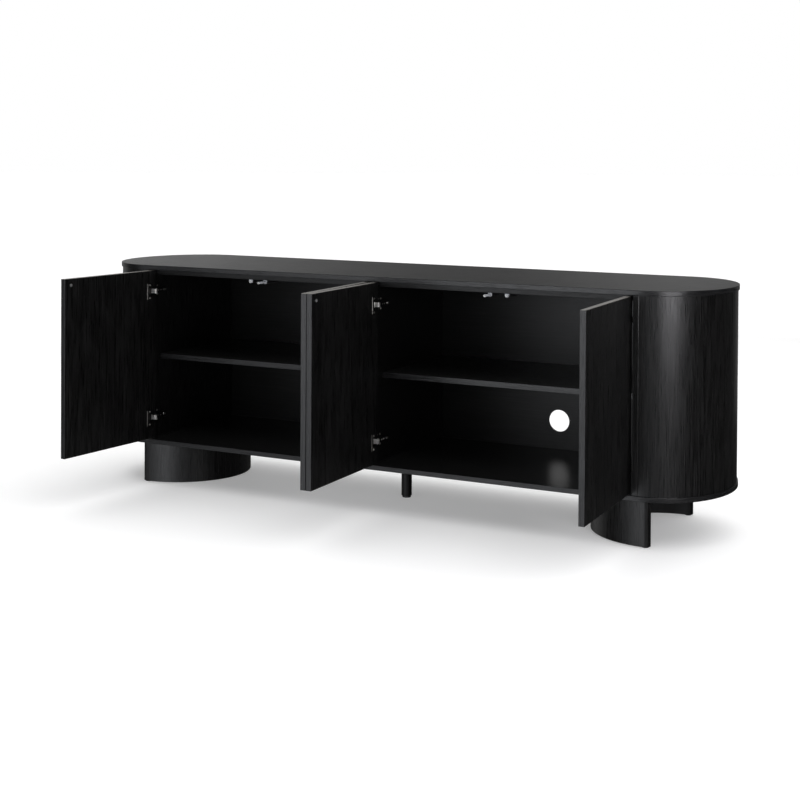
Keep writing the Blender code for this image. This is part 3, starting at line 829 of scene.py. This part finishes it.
def make_strike(door):
    """A turned disc on the door, opposite its latch."""
    node = "strike_" + door.number
    low, high = closed_box(node, door.name)
    radius, thick = (high.x - low.x) / 2, high.y - low.y
    profile = [(0.0, 0.0)] + arc((radius - 0.0003, 0.0003), 0.0003, -90, 0, 2)
    profile += arc((radius - 0.0005, thick - 0.0005), 0.0005, 0, 90, 3)
    profile += [(0.0031, thick), (0.0024, thick - 0.0006), (0.0, thick - 0.0006)]
    work = bmesh.new()
    centre = ((low.x + high.x) / 2, low.y, (low.z + high.z) / 2)
    lathe(work, profile, 32, along_y(centre))
    item = to_object(node + "_disc", work, [FINISHES["steel"]])
    item.matrix_world = door.open
    install(item, door.name, node)


# ---------------------------------------------------------------- glides

def make_glide(node):
    """A round pad under a leg."""
    low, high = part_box(node)
    radius, thick = (high.x - low.x) / 2, high.z - low.z
    arris = min(0.0012, thick / 3)
    profile = [(0.0, 0.0)] + arc((radius - arris, arris), arris, -90, 0, 4)
    profile += [(radius, thick), (0.0, thick)]
    work = bmesh.new()
    place = Matrix.Translation(((low.x + high.x) / 2, (low.y + high.y) / 2, low.z))
    lathe(work, profile, 32, place)
    install(to_object(node + "_pad", work, [FINISHES["black_plastic"]]), "cabinet", node)


# ---------------------------------------------------------------- build

for slab in ("top_panel", "bottom_panel"):
    make_slab(slab)
for side, outward in (("left", -1), ("right", 1)):
    make_end_shell("end_shell_" + side, outward)
    make_c_leg("leg_" + side, outward)
make_centre_leg()
for side in ("left", "right"):
    make_side_panel(side)
    make_board("shelf_" + side, material=SHELF_VENEER, front=EDGE_LONG)
make_board("centre_partition")
make_board("carcass_top", CARCASS_TOP_ARRIS, front=SHADED_EDGE)
for door in DOORS:
    make_door(door)
    make_strike(door)
    make_latch(door.number)
    make_plunger(door.number)
    for place in ("upper", "lower"):
        make_cup(door, place)
        make_arm(door, place)
for node in [name for name in NODES if name.startswith("glide_")]:
    make_glide(node)


# ---------------------------------------------------------------- studio

WHITE = (1.0, 1.0, 1.0)
# Each light card: azimuth, distance, width, lower edge, upper edge, strength, colour.
LIGHT_CARDS = {
    "key_card": (52.0, 3.6, 1.5, 0.50, 1.50, 8.9, (0.97, 0.96, 1.0)),
    "low_card": (52.0, 3.6, 1.5, -1.5, -0.35, 0.30, WHITE),
    "left_card": (-112.0, 4.0, 3.4, -1.8, 1.0, 0.30, WHITE),
}
# Glow profiles of the graded cards: (place in metres, strength).
FRONT_GLOW_X = [(-6.5, 0.30), (-4.2, 0.55), (-3.25, 1.00), (-2.6, 1.70), (-1.7, 2.60),
                (-0.95, 3.40), (-0.3, 3.20), (0.7, 0.90), (1.3, 0.40), (4.6, 0.36)]
FRONT_GLOW_Z = [(-1.8, 0.46), (-0.2, 0.50), (0.45, 1.0), (1.3, 1.0), (1.8, 0.6)]
BACK_GLOW_X = [(-6.0, 1.0), (-4.6, 0.70), (-4.0, 0.48), (-3.1, 0.29), (-2.4, 0.20), (-1.7, 0.18),
               (-1.1, 0.31), (-0.5, 0.42), (0.4, 0.24), (1.2, 0.22), (1.8, 0.16), (2.4, 0.0)]
BACK_GLOW_Z = [(-0.5, 1.07), (2.5, 1.07)]
FRONT_CARD_Y, BACK_CARD_Y = -4.6, 5.0
# The card behind the right cable hole, which lights the hole's reflection in the bottom slab.
HOLE_CARD_X, HOLE_CARD_Z, HOLE_CARD_Y, HOLE_CARD_GLOW = (-0.35, 0.40), (0.20, 0.70), 1.6, 0.42
FLOOR_GREY = (0.80, 0.82)   # the floor's two tones
FLOOR_GLOW = 0.28
FLOOR_HALF = 60.0
SUN_ENERGY = 3.2
SUN_SPREAD = 105            # degrees across
SUN_TILT = (-10, 8)         # degrees about X and about Y
WORLD_GLOW = 0.026


def set_stage(name, mesh, material, camera, glossy, diffuse):
    """Adds a stage piece that casts no shadow; camera, glossy and diffuse say what sees it."""
    mesh.materials.append(material)
    item = bpy.data.objects.new(name, mesh)
    bpy.context.scene.collection.objects.link(item)
    item.visible_camera = camera
    item.visible_glossy = glossy
    item.visible_diffuse = diffuse
    item.visible_shadow = False


def stage_sheet(name, corners, material, camera=False, glossy=True):
    """A flat stage piece between four corners."""
    mesh = bpy.data.meshes.new(name)
    mesh.from_pydata(corners, [], [(0, 1, 2, 3)])
    set_stage(name, mesh, material, camera, glossy, True)


def glow(name, strength, colour=WHITE):
    """A black surface that glows; a strength of None leaves that socket to be linked."""
    m = Nodes(name)
    m.shader.inputs["Base Color"].default_value = (0.0, 0.0, 0.0, 1.0)
    m.shader.inputs["Specular IOR Level"].default_value = 0.0
    m.shader.inputs["Emission Color"].default_value = (*colour, 1.0)
    if strength is not None:
        m.shader.inputs["Emission Strength"].default_value = strength
    return m


def light_card(name, azimuth, distance, width, low, high, strength, colour):
    """An upright glowing card seen only by the object. Azimuth 0 is in front, 90 to the right."""
    turn = radians(azimuth)
    centre = Vector((distance * sin(turn), -distance * cos(turn), 0.0))
    side = Vector((cos(turn), sin(turn), 0.0)) * (width / 2)
    corners = [centre - side, centre + side, centre + side, centre - side]
    for corner, z in zip(corners, (low, low, high, high)):
        corner.z = z
    stage_sheet(name, corners, glow(name, strength, colour).material)


def make_floor():
    """A white floor, a little brightened by its own glow."""
    m = Nodes("studio_floor")
    speckle = m.noise(m.place(), 40.0)
    m.link(m.ramp(speckle, list(zip((0.3, 0.7), FLOOR_GREY))), m.shader.inputs["Base Color"])
    m.shader.inputs["Roughness"].default_value = 0.9
    m.shader.inputs["Specular IOR Level"].default_value = 0.1
    m.shader.inputs["Emission Color"].default_value = (*WHITE, 1.0)
    m.shader.inputs["Emission Strength"].default_value = FLOOR_GLOW
    half = FLOOR_HALF
    corners = [(-half, -half, 0.0), (half, -half, 0.0), (half, half, 0.0), (-half, half, 0.0)]
    stage_sheet("floor", corners, m.material, camera=True, glossy=False)


def make_backdrop():
    """A white surround behind everything, for the camera only."""
    mesh = bpy.data.meshes.new("backdrop")
    work = bmesh.new()
    bmesh.ops.create_icosphere(work, subdivisions=4, radius=58.0)
    work.to_mesh(mesh)
    work.free()
    set_stage("backdrop", mesh, glow("backdrop", 1.0).material, True, False, False)


def upright_corners(across, up, y):
    """Corners of an upright rectangle that faces along Y."""
    (left, right), (low, high) = across, up
    return [(left, y, low), (right, y, low), (right, y, high), (left, y, high)]


def graded_card(name, x_stops, z_stops, y, colour=WHITE):
    """A card across the X axis whose glow is a product of one profile along X and one along Z."""
    m = glow(name, None, colour)
    where = m.add("ShaderNodeSeparateXYZ")
    m.link(m.place(), where.inputs["Vector"])
    glows = []
    for axis, stops in (("X", x_stops), ("Z", z_stops)):
        first, last = stops[0][0], stops[-1][0]
        spread = m.add("ShaderNodeMapRange")
        spread.inputs["From Min"].default_value = first
        spread.inputs["From Max"].default_value = last
        m.link(where.outputs[axis], spread.inputs["Value"])
        places = [((place - first) / (last - first), value) for place, value in stops]
        glows.append(m.ramp(spread.outputs["Result"], places))
    m.link(m.math("MULTIPLY", *glows), m.shader.inputs["Emission Strength"])
    corners = upright_corners((x_stops[0][0], x_stops[-1][0]), (z_stops[0][0], z_stops[-1][0]), y)
    stage_sheet(name, corners, m.material)


def make_lights():
    """A soft overhead light, the cards that the object reflects, and a faint even surround."""
    sun = bpy.data.lights.new("overhead_sun", "SUN")
    sun.energy = SUN_ENERGY
    sun.angle = radians(SUN_SPREAD)
    lamp = bpy.data.objects.new("overhead_sun", sun)
    bpy.context.scene.collection.objects.link(lamp)
    lamp.rotation_euler = (*(radians(a) for a in SUN_TILT), 0.0)
    lamp.visible_glossy = False
    for name, values in LIGHT_CARDS.items():
        light_card(name, *values)
    corners = upright_corners(HOLE_CARD_X, HOLE_CARD_Z, HOLE_CARD_Y)
    stage_sheet("hole_card", corners, glow("hole_card", HOLE_CARD_GLOW).material)
    graded_card("front_card", FRONT_GLOW_X, FRONT_GLOW_Z, FRONT_CARD_Y, (0.94, 0.96, 1.0))
    graded_card("back_card", BACK_GLOW_X, BACK_GLOW_Z, BACK_CARD_Y)
    world = bpy.data.worlds.new("studio")
    bpy.context.scene.world = world
    world.use_nodes = True
    background = world.node_tree.nodes["Background"]
    background.inputs["Color"].default_value = (*WHITE, 1.0)
    background.inputs["Strength"].default_value = WORLD_GLOW


CAMERA_PLACE = (2.3283, -4.5610, 1.2155)
CAMERA_YAW = 27.5045        # degrees to the left of straight ahead
CAMERA_PITCH = 0.9829       # degrees down
CAMERA_ROLL = 0.3116
CAMERA_LENS = 66.996        # mm on a 36 mm sensor
CAMERA_SHIFT = (0.00443, -0.28720)


def make_camera():
    """The photograph's camera, as worked out from the cabinet's edges."""
    yaw, pitch, roll = (radians(a) for a in (CAMERA_YAW, CAMERA_PITCH, CAMERA_ROLL))
    forward = Vector((-sin(yaw) * cos(pitch), cos(yaw) * cos(pitch), -sin(pitch)))
    level = Vector((cos(yaw), sin(yaw), 0.0))
    above = level.cross(forward)
    right = cos(roll) * level + sin(roll) * above
    up = cos(roll) * above - sin(roll) * level
    data = bpy.data.cameras.new("camera")
    data.sensor_width = 36.0
    data.lens = CAMERA_LENS
    data.shift_x, data.shift_y = CAMERA_SHIFT
    data.clip_end = 200.0
    camera = bpy.data.objects.new("camera", data)
    bpy.context.scene.collection.objects.link(camera)
    turn = Matrix((right, up, -forward)).transposed()
    camera.matrix_world = Matrix.Translation(CAMERA_PLACE) @ turn.to_4x4()
    bpy.context.scene.camera = camera
    bpy.context.scene.view_settings.view_transform = "Standard"


make_floor()
make_backdrop()
make_lights()
make_camera()
